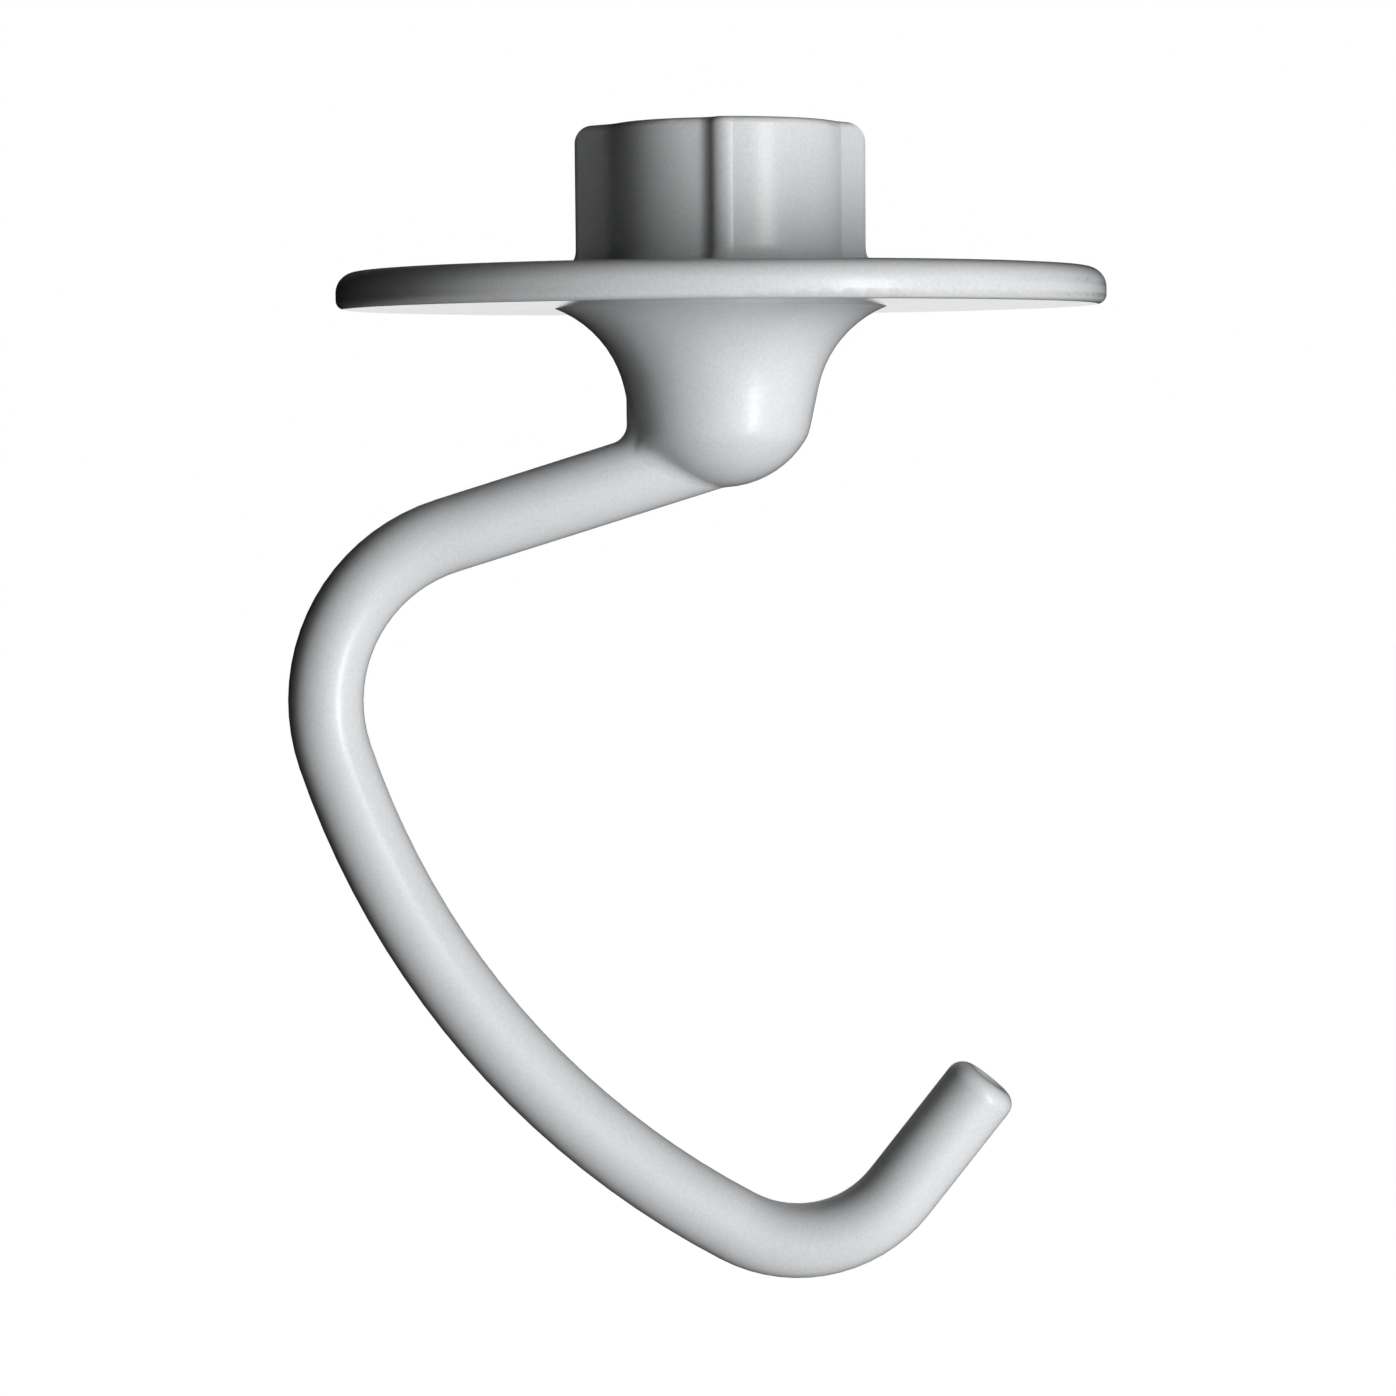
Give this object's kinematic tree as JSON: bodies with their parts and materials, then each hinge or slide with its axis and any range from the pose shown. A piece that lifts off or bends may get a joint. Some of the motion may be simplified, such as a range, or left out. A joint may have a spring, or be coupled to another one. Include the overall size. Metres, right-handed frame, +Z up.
{
  "type": "stand mixer dough hook",
  "caption": "C-shaped dough hook with a round splash shield and a bayonet hub that fits over a stand mixer's drive shaft.",
  "frame": {"origin": "centre of the shaft bore's mouth, on top of the hub", "axes": "+Z up along the drive shaft, out of the bore; the hook lies in the XZ plane and its arm leaves the neck towards -X; -Y is the side seen in the picture"},
  "size_m": [0.1073, 0.1, 0.1525],
  "materials": {
    "coated_casting": "satin light grey enamel on cast aluminium"
  },
  "bodies": {
    "root": {"dough_hook": "coated_casting"}
  },
  "joints": []
}
